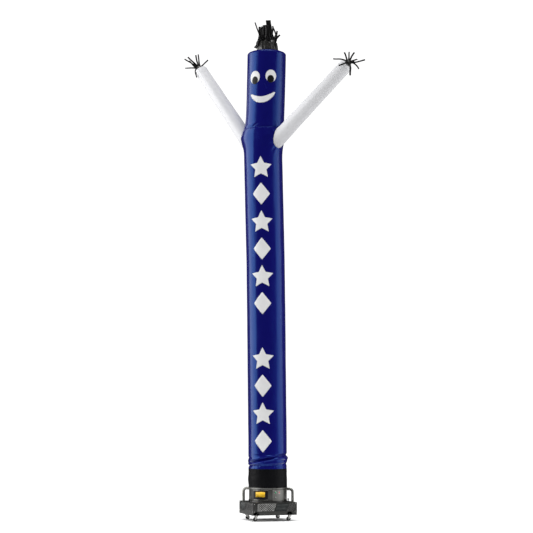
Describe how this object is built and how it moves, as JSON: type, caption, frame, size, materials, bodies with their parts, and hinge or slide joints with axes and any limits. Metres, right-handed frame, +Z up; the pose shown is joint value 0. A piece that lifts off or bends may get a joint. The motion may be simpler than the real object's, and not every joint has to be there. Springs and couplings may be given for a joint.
{
  "type": "inflatable air dancer and blower",
  "caption": "Tall inflated cloth tube figure with a smiling face, two raised arms and strip hair and hands, standing on a wheeled blower.",
  "frame": {"origin": "bottom centre of the whole object's box, on the floor", "axes": "+Z up; the blower's front, with its control panel, faces -Y; +X is to the right as the front is seen"},
  "size_m": [1.6356, 2.118, 6.039],
  "materials": {
    "blue_nylon": "satin coated nylon",
    "white_nylon": "satin coated nylon",
    "black_nylon": "matt nylon",
    "housing_grey": "semi-gloss powder coat",
    "bright_steel": "satin",
    "grille_steel": "expanded steel mesh",
    "black_plastic": "satin",
    "panel_grey": "satin",
    "green_lens": "gloss",
    "red_lens": "gloss",
    "tyre_rubber": "matt"
  },
  "bodies": {
    "dancer": {"body_tube": "blue_nylon", "arm_left": "white_nylon", "arm_right": "white_nylon", "cuff": "black_nylon", "hair": "black_nylon", "hand_left": "black_nylon", "hand_right": "black_nylon", "eye_left": "white_nylon", "eye_right": "white_nylon", "pupil_left": "black_nylon", "pupil_right": "black_nylon", "smile": "white_nylon", "housing": "housing_grey", "base_plate": "housing_grey", "drum": "housing_grey", "drum_rim": "bright_steel", "handle_left": "bright_steel", "handle_right": "bright_steel", "label_plate": "black_plastic", "control_panel": "panel_grey", "lamp_green": "green_lens", "lamp_red": "red_lens", "dial_knob": "panel_grey", "deck_knob_left": "black_plastic", "deck_knob_front": "black_plastic", "deck_knob_right": "black_plastic", "grille_front": "grille_steel", "grille_front_end": "grille_steel", "grille_left": "grille_steel", "grille_right": "grille_steel", "grille_back": "grille_steel", "louvre_front": "black_plastic", "louvre_left": "black_plastic", "caster_plate_front_left": "bright_steel", "caster_nut_front_left": "bright_steel", "caster_plate_front_right": "bright_steel", "caster_nut_front_right": "bright_steel", "caster_plate_back_left": "bright_steel", "caster_nut_back_left": "bright_steel", "caster_plate_back_right": "bright_steel", "caster_nut_back_right": "bright_steel"},
    "swivel_front_left": {"caster_fork_front_left": "bright_steel", "caster_axle_front_left": "bright_steel"},
    "wheel_front_left": {"caster_wheel_front_left": "tyre_rubber"},
    "swivel_front_right": {"caster_fork_front_right": "bright_steel", "caster_axle_front_right": "bright_steel"},
    "wheel_front_right": {"caster_wheel_front_right": "tyre_rubber"},
    "swivel_back_left": {"caster_fork_back_left": "bright_steel", "caster_axle_back_left": "bright_steel"},
    "wheel_back_left": {"caster_wheel_back_left": "tyre_rubber"},
    "swivel_back_right": {"caster_fork_back_right": "bright_steel", "caster_axle_back_right": "bright_steel"},
    "wheel_back_right": {"caster_wheel_back_right": "tyre_rubber"}
  },
  "joints": [
    {"name": "swivel_front_left", "type": "hinge", "parent": "dancer", "child": "swivel_front_left", "pos_m": [-0.17377, -0.00424, 0.0689], "axis": [0, 0, 1], "continuous": true},
    {"name": "roll_front_left", "type": "hinge", "parent": "swivel_front_left", "child": "wheel_front_left", "pos_m": [-0.18977, -0.00424, 0.02578], "axis": [0, 1, 0], "continuous": true},
    {"name": "swivel_front_right", "type": "hinge", "parent": "dancer", "child": "swivel_front_right", "pos_m": [0.23623, -0.00424, 0.0689], "axis": [0, 0, 1], "continuous": true},
    {"name": "roll_front_right", "type": "hinge", "parent": "swivel_front_right", "child": "wheel_front_right", "pos_m": [0.22023, -0.00424, 0.02578], "axis": [0, 1, 0], "continuous": true},
    {"name": "swivel_back_left", "type": "hinge", "parent": "dancer", "child": "swivel_back_left", "pos_m": [-0.17377, 0.39576, 0.0689], "axis": [0, 0, 1], "continuous": true},
    {"name": "roll_back_left", "type": "hinge", "parent": "swivel_back_left", "child": "wheel_back_left", "pos_m": [-0.15777, 0.39576, 0.02578], "axis": [0, 1, 0], "continuous": true},
    {"name": "swivel_back_right", "type": "hinge", "parent": "dancer", "child": "swivel_back_right", "pos_m": [0.23623, 0.39576, 0.0689], "axis": [0, 0, 1], "continuous": true},
    {"name": "roll_back_right", "type": "hinge", "parent": "swivel_back_right", "child": "wheel_back_right", "pos_m": [0.22023, 0.39576, 0.02578], "axis": [0, 1, 0], "continuous": true}
  ]
}
